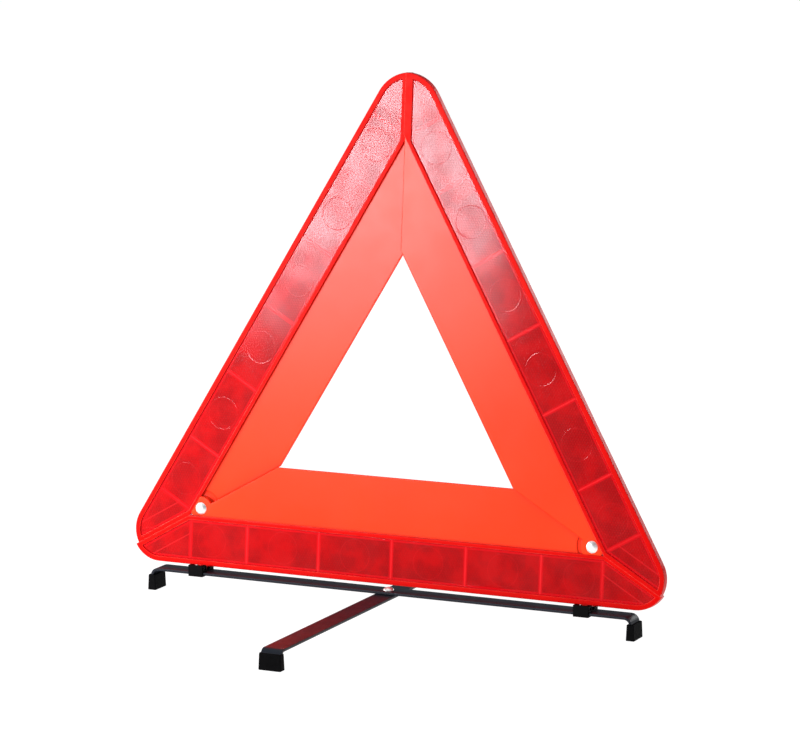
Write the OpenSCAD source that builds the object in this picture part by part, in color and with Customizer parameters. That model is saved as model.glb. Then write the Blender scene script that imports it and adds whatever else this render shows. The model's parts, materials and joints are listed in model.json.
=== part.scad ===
// Folding warning triangle on a crossed strip stand.
// Units are millimetres. +X runs along the base bar, the front faces -Y and +Z is up.
// The origin is on the floor, under the rivet where the cross leg turns.
// The three arms are designed lying face up in a flat plane: x along the bottom edge,
// y up the triangle, z towards the front. on_triangle() then stands that plane up.

/* [Triangle] */
// Side of the sharp-cornered triangle that the outer edges lie on
side = 470; // [440:5:520]
// Radius of the two rounded lower corners
corner_r = 23.5; // [20:0.5:30]
// Radius of the rounded apex
apex_r = 29; // [24:0.5:34]
// Width of the reflector band, rims included
band_w = 37; // [35:0.5:39]
// Full width of an arm, from its outer edge to the triangular hole
arm_w = 79.4; // [76:0.1:84]
// Distance from an outer edge to a corner rivet
rivet_in = 43; // [42.5:0.1:43.5]
// Angle that the triangle leans back on its stand
lean = 5; // [3:0.5:7]

/* [Arm section] */
// Thickness of the reflector band
band_t = 6; // [5.6:0.1:6.2]
// Thickness of the fluorescent panel and its rivet lugs
panel_t = 2; // [1.8:0.1:2.1]
// Depth from one arm's layer to the next
layer = 4.5; // [4.4:0.1:4.8]
// Width of the rim along the outer edge of the band
outer_rim = 4; // [3.5:0.1:4.5]
// Width of the rim along the inner edge of the band
inner_rim = 3; // [2.6:0.1:3.5]
// Width of the rims along the mitred ends of the band, at the lower corners
mitre_w = 3.4; // [3:0.1:4]
// The same at the apex
apex_mitre_w = 6; // [5:0.1:7]
// Height of the rims above the lens
rim_h = 0.8; // [0.5:0.1:1]
// Thickness of the lens
lens_t = 2; // [1.6:0.1:2.2]
// Thickness of the back cover
cover_t = 1.5; // [1.2:0.1:1.6]
// Spacing of the bars that divide the prism fields of the lens
field = 60; // [50:1:70]

/* [Stand] */
// Width of the flat strip
strip_w = 16; // [14:0.5:17]
// Thickness of the flat strip
strip_t = 2; // [1.8:0.1:2.2]
// Half length of the base bar, to the outside of its bent ends
bar_half = 196; // [192:1:204]
// Half length of the cross leg, to the outside of its bent ends
leg_half = 191; // [180:1:192]
// Height of the top of the base bar
bar_top = 17.2; // [17:0.1:18]
// Height of a rubber foot
foot_h = 12; // [11:0.5:12.5]
// Distance of each hinge clip from the middle
clip_x = 157; // [150:1:160]
// Length of a hinge clip along the bar
clip_l = 12; // [11:0.5:14]

/* [Hidden] */
$fn = 64;
height = side * sqrt(3) / 2;          // of the sharp-cornered triangle
centre_y = height / 3;                // its centroid, above the bottom edge
mitre_gap = 0.3;                      // each arm stops this far from the corner's bisector
rivet_x = side / 2 - rivet_in * sqrt(3);
slip = 0.05;                          // running clearance of a turning joint
gap = 0.3;                            // clearance between pieces that pass each other
ledge_w = 1.5;                        // shelf that the lens and the back cover seat on
lens_fit = 0.3;                       // play round the lens in its opening
lens_front = band_t / 2 - rim_h;
lens_back = lens_front - lens_t;
cover_front = cover_t - band_t / 2;
tongue = 1.5;                         // how far the panel goes into the band's inner rim
divider = [1.2, 0.8];                 // width and height of the bars behind the lens
past = 1;                             // how far a cutting shape runs past a face

// An arm is numbered by its side k: 0 bottom, 1 right, 2 left.
// Its ends are -1 and 1, left and right as it lies along the bottom edge.
lug_ends = [[-1, 1], [-1], [1]];      // ends that carry a rivet lug
under_lug = [[1], [], [1]];           // ends where another arm's lug turns over the panel
apex_end = [0, 1, -1];                // end at the apex, if any
apex_angle = [90, 330, 210];          // direction of the apex from the centroid

lug_r = 9;
shank_r = 2;
pivot_head = [4.6, 1.7];              // radius and height of a corner rivet's dome
centre_head = [4.3, 2.3];             // the same of the stand's rivet
rivet_tail = [3.2, 1.1];              // the same of every rivet's closed end
washer_t = 0.6;
washer_r = 4.6;
spacer_r = 5;
recess_r = 13.5;                      // ring sunk into the panel round the lower lug
recess_d = 0.6;

stud_at = [2.6, height - 62];         // apex stud, in the plane of the triangle
stud_r = 1.2;
catch_slip = 0.2;                     // clearance of the stud in its hook
catch_h = 10;
catch_root = 3;                       // part of the catch that is set into the left frame
catch_reach = 6.4;                    // its length from there
catch_low = -layer - catch_slip;      // its plate's two faces
catch_top = -layer + band_t / 2 - gap;
catch_mouth = [3, 10];                // depth and width of the hook's flared opening

under_bar = bar_top - strip_t;
leg_top = under_bar - gap;
bend_r = 6;                           // outside radius of the base bar's bends
leg_bend_r = 5;
sole_t = 2.5;                         // rubber under the end of the strip
foot_d = 6.4;
foot_w = strip_w + 1.6;
foot_taper = 0.4;                     // a foot is this much slimmer at its top, each side
clip_wall = 1.2;
clip_over = 1;                        // plastic above the bar
edge_at = [5, bar_top + 3];           // bottom edge of the arms, as [y, z]
pin_at = [-4.5, bar_top + 2.4];       // hinge axis, as [y, z]
pin_r = 1.25;
pin_in = 1;                           // each end of a pin is this far inside its clip
knuckle_r = 2.2;
knuckle_l = 6;
knuckle_side = 0.5;                   // room beside a knuckle
ear_r = 3;
ledge_y = 3;                          // front of the ledge that the triangle leans back on
ledge_z = edge_at[1] - 2 * gap;
web_low = bar_top + 1;                // underside of the web from a knuckle to its rim
root_y = edge_at[0] + 2;              // its rear and its top
root_z = edge_at[1] + 0.4;

// ---------- placing ----------

// Stands the flat design plane up on the stand, leaning back
module on_triangle() {
    translate([0, edge_at[0], edge_at[1]])
        rotate([90 - lean, 0, 0])
            children();
}

// Turns an arm designed along the bottom edge to side k and lifts it to its own layer
module on_side(k) {
    translate([0, centre_y, layer * [0, 1, -1][k]])
        rotate(120 * k)
            translate([0, -centre_y, 0])
                children();
}

module slab(from, to) {
    translate([0, 0, from])
        linear_extrude(to - from)
            children();
}

// ---------- outlines of an arm, flat, lying along the bottom edge ----------

function corner_radius(k, angle) = angle == apex_angle[k] ? apex_r : corner_r;

function mitre_width(k, end) = end == apex_end[k] ? apex_mitre_w : mitre_w;

// The rounded triangle as arm k sees it, moved in from its outer edges
module rounded_triangle(k, inset) {
    angles = [90, 210, 330];
    arc = [for (a = angles) corner_radius(k, a) - inset];
    centre = [
        for (a = angles)
            (height * 2 / 3 - 2 * corner_radius(k, a)) * [cos(a), sin(a)]
    ];
    translate([0, centre_y]) {
        for (i = [0 : 2])
            translate(centre[i]) circle(arc[i]);
        polygon([
            for (i = [0 : 2], turn = [-60, 60])
                centre[i] + arc[i] * [cos(angles[i] + turn), sin(angles[i] + turn)]
        ]);
    }
}

// Half length of the arm at height y, stopping short of the corner's bisector
function half_len(y, short) = side / 2 - y * sqrt(3) - 2 * short;

// The wedge of the triangle between two heights that belongs to one arm,
// short of the bisectors by shorts = [at its left end, at its right end]
module wedge(low, high, shorts) {
    polygon([
        [-half_len(low, shorts[0]), low], [half_len(low, shorts[1]), low],
        [half_len(high, shorts[1]), high], [-half_len(high, shorts[0]), high]
    ]);
}

// The band's outline: rims is 1 to move it in by its rims or 0 not to, more moves it in further
module band(k, rims, more) {
    low = rims * outer_rim + more;
    high = band_w - rims * inner_rim - more;
    shorts = [for (end = [-1, 1]) mitre_gap + rims * mitre_width(k, end) + more];
    intersection() {
        rounded_triangle(k, low);
        wedge(low, high, shorts);
    }
}

module at_rivets(ends) {
    for (s = ends)
        translate([s * rivet_x, rivet_in])
            children();
}

module sharp_triangle(inset) {
    translate([0, centre_y])
        polygon([
            for (a = [90, 210, 330])
                (height * 2 / 3 - 2 * inset) * [cos(a), sin(a)]
        ]);
}

// The panel down to the bottom of its tongue, with round lugs that the bands cut flat
module panel_outline(k) {
    difference() {
        wedge(band_w - tongue, arm_w, [mitre_gap, mitre_gap]);
        for (s = lug_ends[k])
            translate([s * (rivet_x + arm_w / 2), 0]) square(arm_w, center = true);
    }
    intersection() {
        at_rivets(lug_ends[k]) circle(lug_r);
        sharp_triangle(band_w + gap);
    }
}

// ---------- parts of an arm ----------

module frame_plain(k) {
    difference() {
        slab(-band_t / 2, band_t / 2) band(k, 0, 0);
        slab(lens_back, band_t) band(k, 1, 0);
        slab(-band_t, band_t) band(k, 1, ledge_w);
        slab(-band_t, cover_front) band(k, 1, 0);
        slab(-panel_t / 2, panel_t / 2) panel_outline(k);
    }
}

module lens_plain(k) {
    slab(lens_back, lens_front) band(k, 1, lens_fit);
    slab(lens_back - divider[1], lens_back)
        intersection() {
            band(k, 1, ledge_w + lens_fit);
            for (i = [-3 : 3])
                translate([i * field - divider[0] / 2, 0]) square([divider[0], band_w]);
        }
}

module cover_plain(k) {
    slab(-band_t / 2, cover_front) band(k, 1, 0);
}

module panel_plain(k) {
    difference() {
        slab(-panel_t / 2, panel_t / 2)
            difference() {
                panel_outline(k);
                at_rivets(lug_ends[k]) circle(shank_r + slip);
            }
        slab(panel_t / 2 - recess_d, panel_t)
            at_rivets(under_lug[k])
                difference() {
                    circle(recess_r);
                    circle(lug_r);
                }
    }
}

// ---------- corner pivots ----------

// side s: the left pivot joins the left arm under the bottom arm,
// the right pivot joins the bottom arm under the right arm
function upper(s) = s < 0 ? 0 : layer;
function lower(s) = upper(s) - layer;

module at_pivot(s) {
    on_triangle() translate([s * rivet_x, rivet_in, 0]) children();
}

module dome(r, h) {
    ball = (r * r + h * h) / (2 * h);
    intersection() {
        translate([0, 0, h - ball]) sphere(r = ball);
        cylinder(r = r, h = h);
    }
}

module pivot_rivet(s) {
    top = upper(s) + panel_t / 2 + slip;
    bottom = lower(s) - panel_t / 2 - washer_t - 2 * slip;
    at_pivot(s) {
        translate([0, 0, top]) dome(pivot_head[0], pivot_head[1]);
        translate([0, 0, bottom]) cylinder(r = shank_r, h = top - bottom);
        translate([0, 0, bottom]) mirror([0, 0, 1]) dome(rivet_tail[0], rivet_tail[1]);
    }
}

module ring(outer, inner, h) {
    difference() {
        cylinder(r = outer, h = h);
        translate([0, 0, -past]) cylinder(r = inner, h = h + 2 * past);
    }
}

module pivot_washer(s) {
    at_pivot(s)
        translate([0, 0, lower(s) - panel_t / 2 - washer_t - slip])
            ring(washer_r, shank_r + slip, washer_t);
}

module pivot_spacer(s) {
    at_pivot(s)
        translate([0, 0, lower(s) + panel_t / 2 + slip])
            ring(spacer_r, shank_r + slip, layer - panel_t - 2 * slip);
}

// ---------- apex catch ----------

module catch_plate() {
    translate([-catch_root - mitre_gap, stud_at[1] - catch_h / 2, catch_low])
        cube([catch_root + catch_reach, catch_h, catch_top - catch_low]);
}

// The block on the plate, open to the right, that the stud swings into
module catch_hook() {
    from_x = stud_at[0] - catch_slip;
    difference() {
        translate([from_x, stud_at[1] - catch_h / 2])
            square([catch_reach - mitre_gap - from_x, catch_h]);
        translate(stud_at) circle(stud_r + catch_slip);
        translate(stud_at)
            polygon([
                [stud_r - catch_slip, 0],
                [stud_r - catch_slip - catch_mouth[0], catch_mouth[1] / 2],
                [stud_r - catch_slip - catch_mouth[0], -catch_mouth[1] / 2]
            ]);
    }
}

// ---------- stand ----------

// A flat strip along X with both ends bent down into the feet
module bent_strip(half, top, outside_r) {
    inside_r = outside_r - strip_t;
    turn = half - outside_r;
    rotate([90, 0, 0]) {
        linear_extrude(strip_w, center = true) {
            translate([-turn, top - strip_t]) square([2 * turn, strip_t]);
            for (s = [0, 1])
                mirror([s, 0]) {
                    translate([half - strip_t, sole_t])
                        square([strip_t, top - outside_r - sole_t]);
                    intersection() {
                        translate([turn, top - outside_r])
                            difference() {
                                circle(outside_r);
                                circle(inside_r);
                            }
                        translate([turn, top - outside_r]) square(outside_r);
                    }
                }
        }
    }
}

// A rubber cap, wider at its sole, round the end of a strip along X
module foot_cap(half) {
    translate([half - strip_t / 2, 0, 0])
        intersection() {
            foot_prism(foot_w, foot_d);
            rotate(90) foot_prism(foot_d, foot_w);
        }
}

// Trapezoid prism: w is its width along Y at the sole, d its length along X
module foot_prism(w, d) {
    rotate([90, 0, 90])
        linear_extrude(d, center = true)
            polygon([
                [-w / 2, 0], [w / 2, 0],
                [w / 2 - foot_taper, foot_h], [foot_taper - w / 2, foot_h]
            ]);
}

module bar_foot(s) {
    color(black)
        difference() {
            rotate(s < 0 ? 180 : 0) foot_cap(bar_half);
            bent_strip(bar_half, bar_top, bend_r);
        }
}

module leg_foot(s) {
    color(black)
        rotate(90)
            difference() {
                rotate(s < 0 ? 180 : 0) foot_cap(leg_half);
                bent_strip(leg_half, leg_top, leg_bend_r);
            }
}

// Side profile of a clip, as y and z: its front wall is as high as its ears
module clip_profile() {
    front = -strip_w / 2 - clip_wall;
    low = under_bar - clip_wall;
    translate([front, low]) square([strip_w + 2 * clip_wall, bar_top + clip_over - low]);
    translate([front, low]) square([pin_at[0] - front, pin_at[1] + ear_r - low]);
    translate([ledge_y, low]) square([-front - ledge_y, ledge_z - low]);
    translate(pin_at) circle(ear_r);
}

module along_x(from, to) {
    translate([from, 0, 0])
        rotate([90, 0, 90])
            linear_extrude(to - from)
                children();
}

module clip(s) {
    x = s * clip_x;
    slot = knuckle_l / 2 + knuckle_side;
    color(black)
        difference() {
            along_x(x - clip_l / 2, x + clip_l / 2) clip_profile();
            along_x(x - clip_l, x + clip_l)
                translate([-strip_w / 2, under_bar]) square([strip_w, strip_t]);
            along_x(x - slot, x + slot)
                translate([pin_at[0] - knuckle_r - gap, bar_top]) square(2 * strip_w);
            along_x(x - clip_l, x + clip_l) translate(pin_at) circle(pin_r);
        }
}

module hinge_pin(s) {
    color(zinc)
        along_x(s * clip_x - clip_l / 2 + pin_in, s * clip_x + clip_l / 2 - pin_in)
            translate(pin_at) circle(pin_r);
}

// Knuckle under the bottom arm's rim, turning on a hinge pin
module knuckle(s) {
    along_x(s * clip_x - knuckle_l / 2, s * clip_x + knuckle_l / 2)
        difference() {
            union() {
                translate(pin_at) circle(knuckle_r);
                translate([pin_at[0], web_low])
                    square([root_y - pin_at[0], root_z - web_low]);
            }
            translate(pin_at) circle(pin_r + slip);
        }
}

// ---------- nodes ----------

lens_red = [0.8, 0.02, 0.03];
rim_red = [0.95, 0.05, 0.04];
glow_orange = [1, 0.33, 0.18];
zinc = [0.85, 0.85, 0.86];
black = [0.07, 0.07, 0.08];

module base_bar() {
    color(black)
        difference() {
            bent_strip(bar_half, bar_top, bend_r);
            translate([0, 0, under_bar - past])
                cylinder(r = shank_r + slip, h = strip_t + 2 * past);
        }
}
module left_clip() { clip(-1); }
module right_clip() { clip(1); }
module left_hinge_pin() { hinge_pin(-1); }
module right_hinge_pin() { hinge_pin(1); }
module left_bar_foot() { bar_foot(-1); }
module right_bar_foot() { bar_foot(1); }
module centre_rivet() {
    bottom = leg_top - strip_t - washer_t - 2 * slip;
    color(zinc) {
        translate([0, 0, bar_top]) dome(centre_head[0], centre_head[1]);
        translate([0, 0, bottom]) cylinder(r = shank_r, h = bar_top - bottom);
        translate([0, 0, bottom]) mirror([0, 0, 1]) dome(rivet_tail[0], rivet_tail[1]);
    }
}
module centre_washer() {
    color(zinc)
        translate([0, 0, leg_top - strip_t - washer_t - slip])
            ring(washer_r, shank_r + slip, washer_t);
}

module cross_leg() {
    color(black)
        difference() {
            rotate(90) bent_strip(leg_half, leg_top, leg_bend_r);
            translate([0, 0, leg_top - strip_t - past])
                cylinder(r = shank_r + slip, h = strip_t + 2 * past);
        }
}
module front_leg_foot() { leg_foot(-1); }
module rear_leg_foot() { leg_foot(1); }

module bottom_frame() {
    color(rim_red) {
        on_triangle() on_side(0) frame_plain(0);
        for (s = [-1, 1]) knuckle(s);
    }
}
module bottom_lens() { color(lens_red) on_triangle() on_side(0) lens_plain(0); }
module bottom_back_cover() { color(rim_red) on_triangle() on_side(0) cover_plain(0); }
module bottom_panel() { color(glow_orange) on_triangle() on_side(0) panel_plain(0); }

module left_frame() {
    color(rim_red)
        on_triangle()
            difference() {
                on_side(2) frame_plain(2);
                catch_plate();
            }
}
module left_lens() { color(lens_red) on_triangle() on_side(2) lens_plain(2); }
module left_back_cover() { color(rim_red) on_triangle() on_side(2) cover_plain(2); }
module left_panel() { color(glow_orange) on_triangle() on_side(2) panel_plain(2); }

module right_frame() {
    color(rim_red)
        on_triangle()
            difference() {
                on_side(1) frame_plain(1);
                translate([stud_at[0], stud_at[1], 0]) cylinder(r = stud_r, h = layer);
            }
}
module right_lens() { color(lens_red) on_triangle() on_side(1) lens_plain(1); }
module right_back_cover() { color(rim_red) on_triangle() on_side(1) cover_plain(1); }
module right_panel() { color(glow_orange) on_triangle() on_side(1) panel_plain(1); }

module left_pivot_rivet() { color(zinc) pivot_rivet(-1); }
module right_pivot_rivet() { color(zinc) pivot_rivet(1); }
module left_pivot_washer() { color(zinc) pivot_washer(-1); }
module right_pivot_washer() { color(zinc) pivot_washer(1); }
module left_pivot_spacer() { color("white") pivot_spacer(-1); }
module right_pivot_spacer() { color("white") pivot_spacer(1); }

// Hook on the left arm, for the stud of the right arm
module apex_catch() {
    color(rim_red)
        on_triangle() {
            catch_plate();
            slab(catch_top, layer - band_t / 2 - gap) catch_hook();
        }
}
module apex_stud() {
    tip = catch_top + gap;
    color(zinc)
        on_triangle()
            translate([stud_at[0], stud_at[1], tip]) cylinder(r = stud_r, h = layer - tip);
}

base_bar();
left_clip();
right_clip();
left_hinge_pin();
right_hinge_pin();
left_bar_foot();
right_bar_foot();
centre_rivet();
centre_washer();
cross_leg();
front_leg_foot();
rear_leg_foot();
bottom_frame();
bottom_lens();
bottom_back_cover();
bottom_panel();
left_frame();
left_lens();
left_back_cover();
left_panel();
right_frame();
right_lens();
right_back_cover();
right_panel();
left_pivot_rivet();
right_pivot_rivet();
left_pivot_washer();
right_pivot_washer();
left_pivot_spacer();
right_pivot_spacer();
apex_catch();
apex_stud();
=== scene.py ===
import json
import math

import bpy
from mathutils import Matrix, Vector

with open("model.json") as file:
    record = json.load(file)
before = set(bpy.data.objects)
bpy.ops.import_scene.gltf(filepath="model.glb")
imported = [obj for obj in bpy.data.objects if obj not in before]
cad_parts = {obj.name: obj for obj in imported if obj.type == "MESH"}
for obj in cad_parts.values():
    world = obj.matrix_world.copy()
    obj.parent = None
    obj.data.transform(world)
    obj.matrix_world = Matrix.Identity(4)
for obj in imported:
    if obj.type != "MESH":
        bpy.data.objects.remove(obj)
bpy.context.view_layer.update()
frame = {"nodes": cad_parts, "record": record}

# The folding warning triangle's looks. Lengths are metres unless a comment says mm, and places come
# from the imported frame. The three arms are alike: each has its own directions, along its outer edge,
# inwards across its band, and out of its front.

MM = 0.001
NODES = frame["nodes"]
ARMS = {"bottom": 0, "right": 120, "left": 240}  # degrees that each arm is turned in its plane

# The lens pattern, in mm
HALF_FIELD = 30.0  # from a bar behind the lens to the middle of a prism field
WHOLE_FIELDS = 140.0  # from an arm's middle to where its whole fields end
LAST_LINE = 168.0  # from an arm's middle to the line that closes its last field
STEP_IN = 9.0  # from a mitred end to the fine line that follows it
CLEAR = 9.0  # more than half of any line's width
RING = 12.0  # radius of the faint circle moulded in each field
PRISM = 0.9  # from a prism's edge to its point, across

# The photographer's place: degrees round the object, metres from the target
AZIMUTH = 25.17
ELEVATION = 9.68
ROLL = -0.08
DISTANCE = 2.714
TARGET = Vector((0.0096, 0, 0.1804))
FOCAL_MM = 167.2

# ---------- where things are ----------


def joint(name):
    """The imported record's joint of that name."""
    return next(j for j in frame["record"]["behaviour"]["joints"] if j["name"] == name)


FRONT = -Vector(joint("left_arm_fold")["axis"]).normalized()
RIGHT = Vector((1, 0, 0))
UP = FRONT.cross(RIGHT)


def spread(points, direction):
    """The least and the greatest distance of some points along a direction."""
    along = [p.dot(direction) for p in points]
    return min(along), max(along)


def rivet(side):
    """The axis of a corner rivet, as the joint of the arm that turns on it has it."""
    return Vector(joint(side + "_arm_fold")["pos_m"])


# Both rivets are as far from the bottom edge as from their own arm's edge, which puts the centroid
# of the triangle at this height above the line through them.
CENTROID = (rivet("left") + rivet("right")) / 2
CENTROID += UP * (rivet("right") - rivet("left")).length / (2 * math.sqrt(3))


class Arm:
    """Directions and lens sizes of one arm, measured on its lens node. Its width is in mm."""

    def __init__(self, name, degrees):
        turn = Matrix.Rotation(math.radians(degrees), 3, FRONT)
        self.name = name
        self.along = turn @ RIGHT
        self.inwards = turn @ UP
        corners = [v.co for v in NODES[name + "_lens"].data.vertices]
        self.low, self.high = spread(corners, self.inwards)
        self.middle = CENTROID.dot(self.along)
        top = [p for p in corners if p.dot(self.inwards) > self.high - 0.1 * MM]
        # The ends of the lens's inner edge, as distances from the arm's middle
        left, right = spread(top, self.along)
        self.half_top = (self.middle - left, right - self.middle)
        self.width = (self.high - self.low) / MM


# ---------- node trees ----------


class Shade:
    """A material under construction: each method adds nodes and returns an output socket."""

    def __init__(self, name):
        self.material = bpy.data.materials.new(name)
        self.material.use_nodes = True
        self.tree = self.material.node_tree
        self.surface = self.tree.nodes["Principled BSDF"]
        self.place = self.add("ShaderNodeTexCoord").outputs["Object"]

    def add(self, kind, **settings):
        node = self.tree.nodes.new(kind)
        for key, value in settings.items():
            setattr(node, key, value)
        return node

    def put(self, socket, value):
        if isinstance(value, bpy.types.NodeSocket):
            self.tree.links.new(value, socket)
        else:
            socket.default_value = value

    def math(self, operation, a, b=0.0, c=0.0):
        node = self.add("ShaderNodeMath", operation=operation)
        for socket, value in zip(node.inputs, (a, b, c)):
            self.put(socket, value)
        return node.outputs[0]

    def dot(self, direction, start):
        """Distance in mm of the shaded point along a direction, from start, which is in metres."""
        node = self.add("ShaderNodeVectorMath", operation="DOT_PRODUCT")
        self.put(node.inputs[0], self.place)
        node.inputs[1].default_value = direction / MM
        return self.math("SUBTRACT", node.outputs["Value"], start / MM)

    def ramp(self, value, low, high, at_low=0.0, at_high=1.0, smooth=True):
        """value from low..high brought to at_low..at_high, held at the ends."""
        kind = "SMOOTHSTEP" if smooth else "LINEAR"
        node = self.add("ShaderNodeMapRange", interpolation_type=kind, clamp=True)
        for name, v in zip(
            ("Value", "From Min", "From Max", "To Min", "To Max"),
            (value, low, high, at_low, at_high),
        ):
            self.put(node.inputs[name], v)
        return node.outputs["Result"]

    def noise(self, size, detail=3.0):
        """Noise of about that size in metres."""
        node = self.add("ShaderNodeTexNoise")
        self.put(node.inputs["Vector"], self.place)
        node.inputs["Scale"].default_value = 1 / size
        node.inputs["Detail"].default_value = detail
        return node.outputs["Fac"]

    def scratches(self, length, width, turn):
        """Thin random scratches, 1 on a scratch and 0 beside it."""
        mapping = self.add("ShaderNodeMapping")
        self.put(mapping.inputs["Vector"], self.place)
        mapping.inputs["Rotation"].default_value = turn
        mapping.inputs["Scale"].default_value = (1, width / length, width / length)
        node = self.add("ShaderNodeTexVoronoi", feature="DISTANCE_TO_EDGE")
        self.put(node.inputs["Vector"], mapping.outputs[0])
        node.inputs["Scale"].default_value = 1 / (30 * width)
        return self.ramp(node.outputs["Distance"], 0.0, 0.012, 1.0, 0.0)

    def rounded(self, width):
        """The normal, turned near the edges of the shape as if they were rounded that much."""
        node = self.add("ShaderNodeBevel", samples=4)
        node.inputs["Radius"].default_value = width
        return node.outputs[0]

    def edges(self, rounded):
        """1 where a rounded normal leaves the shape's own, which is along its edges, 0 elsewhere."""
        plain = self.add("ShaderNodeNewGeometry").outputs["Normal"]
        node = self.add("ShaderNodeVectorMath", operation="DOT_PRODUCT")
        self.put(node.inputs[0], rounded)
        self.put(node.inputs[1], plain)
        return self.ramp(node.outputs["Value"], 0.995, 0.9, 0.0, 1.0)

    def crevices(self, reach):
        """1 in open places, towards 0 in narrow gaps and inner corners within that reach."""
        node = self.add("ShaderNodeAmbientOcclusion", samples=6)
        node.inputs["Distance"].default_value = reach
        return node.outputs["AO"]

    def mix(self, factor, a, b):
        """Colour a where factor is 0 and colour b where it is 1."""
        node = self.add("ShaderNodeMix", data_type="RGBA")
        self.put(node.inputs["Factor"], factor)
        for socket, value in zip((node.inputs[6], node.inputs[7]), (a, b)):
            self.put(socket, value if isinstance(value, bpy.types.NodeSocket) else (*value, 1))
        return node.outputs[2]

    def bump(self, height, depth, strength=1.0, normal=None):
        node = self.add("ShaderNodeBump")
        self.put(node.inputs["Height"], height)
        node.inputs["Distance"].default_value = depth
        node.inputs["Strength"].default_value = strength
        if normal is not None:
            self.put(node.inputs["Normal"], normal)
        return node.outputs["Normal"]

    def done(self, **sockets):
        """Sets the shader's sockets, named with _ for a space, and returns the material."""
        for name, value in sockets.items():
            self.put(self.surface.inputs[name.replace("_", " ")], value)
        return self.material


# ---------- materials ----------

GAP_GLOW = (1.0, 0.0, 0.02, 1)  # painted glow: red plastic emits this in its narrow gaps, lifting their shade


def moulded_red(name, clean, pale_edge, gloss, grain):
    """Moulded red plastic: faintly cloudy, paler along its edges (partly wear, partly a painted
    highlight), with painted shade and a painted glow in its narrow gaps and inner corners, fine
    scratches and a slight orange peel."""
    s = Shade(name)
    round_normal = s.rounded(0.9 * MM)
    cloud = s.ramp(s.noise(22 * MM), 0.35, 0.65, 0.0, 0.5)
    colour = s.mix(cloud, clean, [c * 0.86 for c in clean])
    open_air = s.crevices(1.2 * MM)
    # painted shade: the red is darker in narrow gaps and inner corners
    colour = s.mix(s.ramp(open_air, 0.25, 0.8), [c * 0.55 for c in clean], colour)
    # paler edges: partly wear, partly a painted highlight along them
    edge = s.math("MULTIPLY", s.edges(round_normal), s.ramp(s.noise(9 * MM), 0.35, 0.65, 0.4, 1))
    colour = s.mix(s.math("MULTIPLY", edge, 0.6), colour, pale_edge)
    scratch = s.scratches(14 * MM, 0.05 * MM, (0.3, 0.9, 0.5))
    rough = s.ramp(s.noise(7 * MM), 0.3, 0.7, gloss, gloss + 0.06)
    rough = s.math("ADD", rough, s.math("MULTIPLY", scratch, 0.06))
    normal = s.bump(s.noise(2.2 * MM, 2), grain, 0.6, round_normal)
    normal = s.bump(scratch, -0.006 * MM, 0.5, normal)
    # painted glow in narrow gaps and inner corners
    glow = s.ramp(open_air, 0.0, 0.7, 0.4, 0.0)
    return s.done(
        Base_Color=colour, Roughness=rough, Normal=normal,
        Specular_Tint=(1.0, 0.10, 0.07, 1), Specular_IOR_Level=0.2,
        Emission_Color=GAP_GLOW, Emission_Strength=glow,
    )


def to_nearest_line(s, to_bar, far):
    """Distance to the nearest bar behind the lens, or past its whole fields to their last line."""
    last = s.math("ABSOLUTE", s.math("SUBTRACT", far, LAST_LINE))
    hidden = s.ramp(far, WHOLE_FIELDS, WHOLE_FIELDS + 1, 0, CLEAR)
    return s.math("MINIMUM", last, s.math("ADD", to_bar, hidden))


def to_nearest_end(s, arm, u, v):
    """Distance to the nearer mitred end of the lens. Each is at 30 degrees to its long edges."""
    below_top = s.math("SUBTRACT", arm.width, v)
    to_mitre = []
    for end, half_top in zip((-1, 1), arm.half_top):
        half = s.math("MULTIPLY_ADD", below_top, math.sqrt(3), half_top / MM)
        beyond = s.math("MULTIPLY_ADD", u, -end, half)
        to_mitre.append(s.math("MULTIPLY", beyond, 0.5))
    return s.math("MINIMUM", *to_mitre)


def prisms(s, arm):
    """Three-sided prisms: 0 along their edges, 1 at their points."""
    waves = []
    for degrees in (0, 60, 120):
        a = math.radians(degrees)
        way = arm.inwards * math.cos(a) + arm.along * math.sin(a)
        waves.append(s.math("PINGPONG", s.dot(way, arm.low), PRISM))
    least = s.math("MINIMUM", s.math("MINIMUM", waves[0], waves[1]), waves[2])
    return s.ramp(least, 0.0, PRISM, 0.0, 1.0, smooth=False)


def field_ring(s, arm, to_bar, v):
    """1 on the circle in the middle of a field, 0 elsewhere."""
    across = s.math("SUBTRACT", v, arm.width / 2)
    over = s.math("SUBTRACT", to_bar, HALF_FIELD)
    squares = s.math("MULTIPLY_ADD", over, over, s.math("MULTIPLY", across, across))
    off_circle = s.math("ABSOLUTE", s.math("SUBTRACT", s.math("SQRT", squares), RING))
    return s.ramp(off_circle, 0.15, 0.6, 1.0, 0.0)


def lens_lines(s, to_line, to_end, far, ring):
    """How strongly the bars, the fine lines along the mitred ends and the circles show."""
    bar = s.ramp(to_line, 0.3, 0.8, 1.0, 0.0)
    bar = s.math("MULTIPLY", bar, s.ramp(far, WHOLE_FIELDS, WHOLE_FIELDS + 1, 0.5, 0.25))
    off_step = s.math("ABSOLUTE", s.math("SUBTRACT", to_end, STEP_IN))
    step = s.ramp(off_step, 0.2, 0.7, 1.0, 0.0)
    step = s.math("MULTIPLY", step, s.ramp(far, LAST_LINE, LAST_LINE + 1, 0.0, 0.3))
    return s.math("MAXIMUM", s.math("MAXIMUM", bar, step), s.math("MULTIPLY", ring, 0.09))


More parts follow.
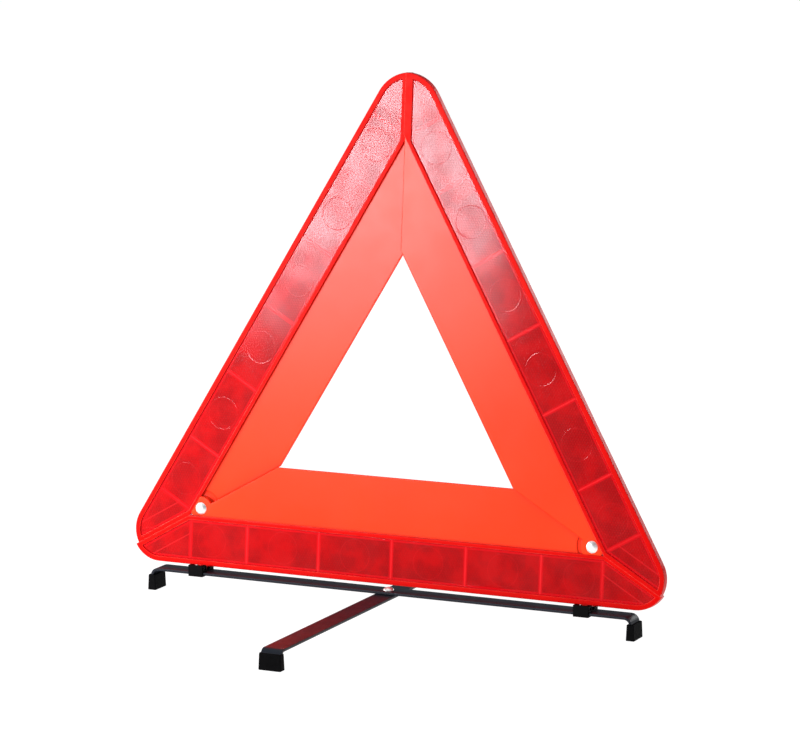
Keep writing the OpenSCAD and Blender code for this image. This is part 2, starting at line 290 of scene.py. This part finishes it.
def lens_red(arm):
    """Red reflector lens: smooth in front, with a field of three-sided prisms behind every bar, a
    painted glint on the prisms, and painted shade and a painted glow in its narrow gaps.
    """
    s = Shade(arm.name + "_lens_red")
    u = s.dot(arm.along, arm.middle)
    v = s.dot(arm.inwards, arm.low)
    to_bar = s.math("PINGPONG", u, HALF_FIELD)
    far = s.math("ABSOLUTE", u)
    to_line = to_nearest_line(s, to_bar, far)
    to_end = to_nearest_end(s, arm, u, v)
    to_rim = s.math("MINIMUM", v, s.math("SUBTRACT", arm.width, v))
    to_edge = s.math("MINIMUM", s.math("MINIMUM", to_line, to_rim), to_end)
    field = s.ramp(to_edge, 1.2, 2.0)
    prism = s.math("MULTIPLY", prisms(s, arm), field)
    ring = field_ring(s, arm, to_bar, v)

    blotch = s.ramp(s.noise(17 * MM, 5), 0.36, 0.64)
    deep = s.mix(blotch, (0.29, 0.0, 0.001), (0.43, 0.0, 0.001))
    # the prism pattern, lighter toward each prism's point as a painted glint
    prism_pattern_and_glint = s.mix(s.ramp(prism, 0.05, 0.6, 0.0, 0.3), deep, (0.52, 0.0, 0.003))
    colour = s.mix(field, (0.56, 0.0, 0.003), prism_pattern_and_glint)
    colour = s.mix(lens_lines(s, to_line, to_end, far, ring), colour, (0.92, 0.02, 0.025))
    # painted shade: the lens is darker in its narrow gaps
    open_air = s.crevices(1.6 * MM)
    colour = s.mix(s.ramp(open_air, 0.3, 0.85), (0.26, 0.0, 0.002), colour)

    ripple = s.bump(s.noise(13 * MM, 2), 0.05 * MM, 0.5)
    ripple = s.bump(ring, 0.05 * MM, 0.35, ripple)
    return s.done(
        Base_Color=colour,
        Roughness=s.ramp(s.noise(9 * MM), 0.3, 0.7, 0.34, 0.46),
        Specular_IOR_Level=0.1,
        Specular_Tint=(1.0, 0.1, 0.1, 1),
        Normal=s.bump(prism, 0.2 * MM, 0.4),
        # painted glow in the lens's narrow gaps
        Emission_Color=GAP_GLOW,
        Emission_Strength=s.ramp(open_air, 0.0, 0.6, 0.35, 0.0),
        Coat_Weight=s.ramp(s.noise(24 * MM, 4), 0.32, 0.66, 0.11, 0.19),
        Coat_Roughness=0.09,
        Coat_IOR=1.5,
        Coat_Normal=ripple,
    )


def fluorescent():
    """Fluorescent orange sheet: it glows a little by itself, satin, with faint flow marks, painted
    shade along its edges and in its narrow gaps, and a painted shadow where a part stands close over
    it.
    """
    s = Shade("fluorescent")
    round_normal = s.rounded(1.2 * MM)
    cloud = s.ramp(s.noise(90 * MM, 1.5), 0.3, 0.7)
    colour = s.mix(cloud, (1.0, 0.034, 0.004), (1.0, 0.041, 0.006))
    # painted shadow where a part stands close over the sheet
    colour = s.mix(s.ramp(s.crevices(12 * MM), 0.45, 0.85), (0.70, 0.014, 0.003), colour)
    # painted shade in narrow gaps and inner corners
    colour = s.mix(s.ramp(s.crevices(1.5 * MM), 0.3, 0.85), (0.45, 0.012, 0.004), colour)
    # painted shade along the edges
    colour = s.mix(s.math("MULTIPLY", s.edges(round_normal), 0.9), colour, (0.45, 0.015, 0.006))
    scratch = s.scratches(22 * MM, 0.05 * MM, (0.2, 0.4, 1.1))
    rough = s.ramp(s.noise(16 * MM), 0.3, 0.7, 0.20, 0.22)
    rough = s.math("ADD", rough, s.math("MULTIPLY", scratch, 0.02))
    normal = s.bump(s.noise(1.2 * MM, 2), 0.004 * MM, 0.5, round_normal)
    return s.done(
        Base_Color=colour, Roughness=rough, Normal=normal, Specular_IOR_Level=0.08,
        Emission_Color=(1.0, 0.08, 0.02, 1), Emission_Strength=0.10,
    )


def painted_steel():
    """Gloss black paint on steel strip: dust, hairline scuffs, and metal showing at its edges."""
    s = Shade("black_strip")
    round_normal = s.rounded(0.5 * MM)
    pale_edge = s.math("MULTIPLY", s.edges(round_normal), s.ramp(s.noise(6 * MM, 5), 0.62, 0.72, 0.0, 0.5))
    dust = s.ramp(s.noise(20 * MM, 4), 0.45, 0.75, 0.0, 0.3)
    colour = s.mix(dust, (0.010, 0.012, 0.017), (0.022, 0.026, 0.034))
    colour = s.mix(pale_edge, colour, (0.2, 0.2, 0.22))
    scratch = s.scratches(18 * MM, 0.06 * MM, (0.1, 0.2, 0.15))
    rough = s.ramp(s.noise(9 * MM), 0.3, 0.7, 0.33, 0.39)
    rough = s.math("ADD", rough, s.math("MULTIPLY", scratch, 0.06))
    normal = s.bump(s.noise(14 * MM, 2), 0.02 * MM, 0.3, round_normal)
    normal = s.bump(scratch, -0.001 * MM, 0.3, normal)
    return s.done(
        Base_Color=colour, Metallic=pale_edge, Roughness=rough, Normal=normal,
        Specular_IOR_Level=0.13,
    )


def black_moulding(name, tone, gloss, grain_size, grain):
    """Black rubber or nylon: a fine grain, with patches of dust and greyer edges."""
    s = Shade(name)
    dark = (tone, tone, tone * 1.1)
    pale = (tone * 2.2, tone * 2.2, tone * 2.5)
    round_normal = s.rounded(0.5 * MM)
    dust = s.ramp(s.noise(4 * MM, 4), 0.45, 0.75, 0.0, 0.4)
    edge = s.math("MULTIPLY", s.edges(round_normal), 0.5)
    colour = s.mix(s.math("MAXIMUM", dust, edge), dark, pale)
    rough = s.ramp(s.noise(2 * MM), 0.3, 0.7, gloss, gloss + 0.12)
    normal = s.bump(s.noise(grain_size, 3), grain, 0.6, round_normal)
    return s.done(
        Base_Color=colour, Roughness=rough, Normal=normal, Specular_IOR_Level=0.04
    )


def zinc():
    """Bright zinc plate: slightly uneven, with small dull spots."""
    s = Shade("zinc")
    cloud = s.ramp(s.noise(1.5 * MM, 3), 0.35, 0.65)
    colour = s.mix(cloud, (0.88, 0.87, 0.83), (0.96, 0.95, 0.91))
    dull = s.ramp(s.noise(0.8 * MM, 2), 0.58, 0.7)
    rough = s.math("ADD", s.ramp(cloud, 0.0, 1.0, 0.3, 0.4), s.math("MULTIPLY", dull, 0.15))
    normal = s.bump(s.noise(0.5 * MM, 2), 0.01 * MM, 0.5)
    return s.done(Base_Color=colour, Metallic=0.8, Roughness=rough, Normal=normal)


def nylon():
    """Natural white nylon, waxy and slightly yellowed."""
    s = Shade("nylon")
    colour = s.mix(s.ramp(s.noise(3 * MM), 0.3, 0.7), (0.82, 0.81, 0.76), (0.9, 0.89, 0.86))
    rough = s.ramp(s.noise(1.5 * MM), 0.3, 0.7, 0.35, 0.5)
    return s.done(
        Base_Color=colour, Roughness=rough, Normal=s.bump(s.noise(0.7 * MM), 0.01 * MM),
        Subsurface_Weight=0.1, Subsurface_Scale=1 * MM,
    )


# ---------- CAD nodes ----------


def dress(node, material, rounding, segments=2):
    """Gives a CAD node its material and rounds its edges."""
    thing = NODES[node]
    thing.data.materials.clear()
    thing.data.materials.append(material)
    weld = thing.modifiers.new("weld", "WELD")
    weld.merge_threshold = 0.002 * MM
    bevel = thing.modifiers.new("rounding", "BEVEL")
    bevel.width = rounding
    bevel.segments = segments
    bevel.limit_method = "ANGLE"
    bevel.angle_limit = math.radians(38)
    bevel.use_clamp_overlap = False
    shading = thing.modifiers.new("shading", "WEIGHTED_NORMAL")
    shading.weight = 50


def dress_all(arms):
    """Materials and edge rounding of every CAD node."""
    # each red's second colour is that of its paler edges: partly wear, partly a painted highlight
    rim = moulded_red("rim_red", (0.62, 0.001, 0.001), (1.0, 0.15, 0.11), 0.30, 0.01 * MM)
    cover = moulded_red("cover_red", (0.60, 0.005, 0.004), (0.9, 0.08, 0.06), 0.38, 0.03 * MM)
    orange = fluorescent()
    for arm in arms:
        dress(arm.name + "_frame", rim, 0.4 * MM, 3)
        dress(arm.name + "_lens", lens_red(arm), 0.12 * MM)
        dress(arm.name + "_back_cover", cover, 0.2 * MM)
        dress(arm.name + "_panel", orange, 0.2 * MM)
    dress("apex_catch", rim, 0.15 * MM)
    strip = painted_steel()
    for node in ("base_bar", "cross_leg"):
        dress(node, strip, 0.25 * MM)
    clip = black_moulding("black_plastic", 0.0009, 0.45, 0.5 * MM, 0.02 * MM)
    rubber = black_moulding("rubber", 0.0010, 0.62, 0.35 * MM, 0.04 * MM)
    metal = zinc()
    spacer = nylon()
    for side in ("left", "right"):
        dress(side + "_clip", clip, 0.2 * MM)
        dress(side + "_hinge_pin", metal, 0.1 * MM)
        dress(side + "_bar_foot", rubber, 0.6 * MM, 3)
        dress(side + "_pivot_rivet", metal, 0.1 * MM)
        dress(side + "_pivot_washer", metal, 0.08 * MM)
        dress(side + "_pivot_spacer", spacer, 0.15 * MM)
    for node in ("front_leg_foot", "rear_leg_foot"):
        dress(node, rubber, 0.6 * MM, 3)
    for node in ("centre_rivet", "centre_washer", "apex_stud"):
        dress(node, metal, 0.1 * MM)


# ---------- studio ----------


def pale_floor():
    """A wide pale floor, which carries a little of the light itself."""
    bpy.ops.mesh.primitive_circle_add(vertices=96, radius=24, fill_type="NGON")
    floor = bpy.context.object
    floor.name = "floor"
    s = Shade("floor")
    tone = s.ramp(s.noise(0.5, 2), 0.3, 0.7)
    floor.data.materials.append(
        s.done(
            Base_Color=s.mix(tone, (0.14, 0.14, 0.14), (0.16, 0.16, 0.16)),
            Roughness=0.9,
            Specular_IOR_Level=0.0,
            Emission_Color=(1, 1, 1, 1),
            Emission_Strength=0.98,
        )
    )


def softbox(name, at, target, size, power, tint=(1, 1, 1)):
    """An area light of that width and height, in watts, aimed at a point."""
    light = bpy.data.lights.new(name, "AREA")
    light.shape = "RECTANGLE"
    light.size, light.size_y = size
    light.energy = power
    light.color = tint
    thing = bpy.data.objects.new(name, light)
    bpy.context.scene.collection.objects.link(thing)
    thing.location = at
    thing.rotation_euler = (Vector(target) - Vector(at)).to_track_quat("-Z", "Y").to_euler()
    thing.visible_camera = False


def around(azimuth, distance, height):
    """A point round the object, with azimuth 0 in front of it and 90 on its right."""
    a = math.radians(azimuth)
    return (distance * math.sin(a), -distance * math.cos(a), height)


def studio():
    """Plain soft light: a strong low box in front on the left, one overhead, weaker ones around."""
    world = bpy.data.worlds.new("studio")
    bpy.context.scene.world = world
    world.use_nodes = True
    world.node_tree.nodes["Background"].inputs["Color"].default_value = (0.75, 0.88, 1.0, 1)
    world.node_tree.nodes["Background"].inputs["Strength"].default_value = 0.25
    middle = (0, 0, 0.2)
    rosy = (1.0, 0.95, 1.03)
    softbox("key", around(-27.5, 3.0, 0.53), middle, (0.55, 0.44), 54, rosy)
    softbox("key_low", around(-27.5, 3.0, 0.255), middle, (0.55, 0.11), 5.0, rosy)
    softbox("left_fill", around(-66, 0.62, 0.20), (-0.21, 0, 0.06), (0.3, 0.3), 3.6)
    softbox("right_fill", around(84, 2.4, 0.45), middle, (1.2, 1.0), 5)
    softbox("overhead", (0, 0.3, 2.6), (0, 0.3, 0), (3.0, 3.0), 26)
    softbox("back_right", around(162, 2.6, 0.85), middle, (1.2, 0.8), 12)
    softbox("back_left", around(-115, 2.6, 1.3), middle, (1.4, 1.0), 8)


def camera():
    """The photographer's place: to the right of the front, a little above, with a long lens."""
    azimuth = math.radians(AZIMUTH)
    elevation = math.radians(ELEVATION)
    back = Vector(
        (
            math.sin(azimuth) * math.cos(elevation),
            -math.cos(azimuth) * math.cos(elevation),
            math.sin(elevation),
        )
    )
    lens = bpy.data.cameras.new("camera")
    lens.lens = FOCAL_MM
    lens.clip_end = 100
    thing = bpy.data.objects.new("camera", lens)
    bpy.context.scene.collection.objects.link(thing)
    thing.location = TARGET + back * DISTANCE
    thing.rotation_mode = "QUATERNION"
    turn = Matrix.Rotation(math.radians(ROLL), 3, back).to_quaternion()
    thing.rotation_quaternion = turn @ (-back).to_track_quat("-Z", "Y")
    bpy.context.scene.camera = thing


arms = [Arm(name, degrees) for name, degrees in ARMS.items()]
camera()
studio()
pale_floor()
dress_all(arms)
bpy.context.scene.view_settings.view_transform = "Standard"
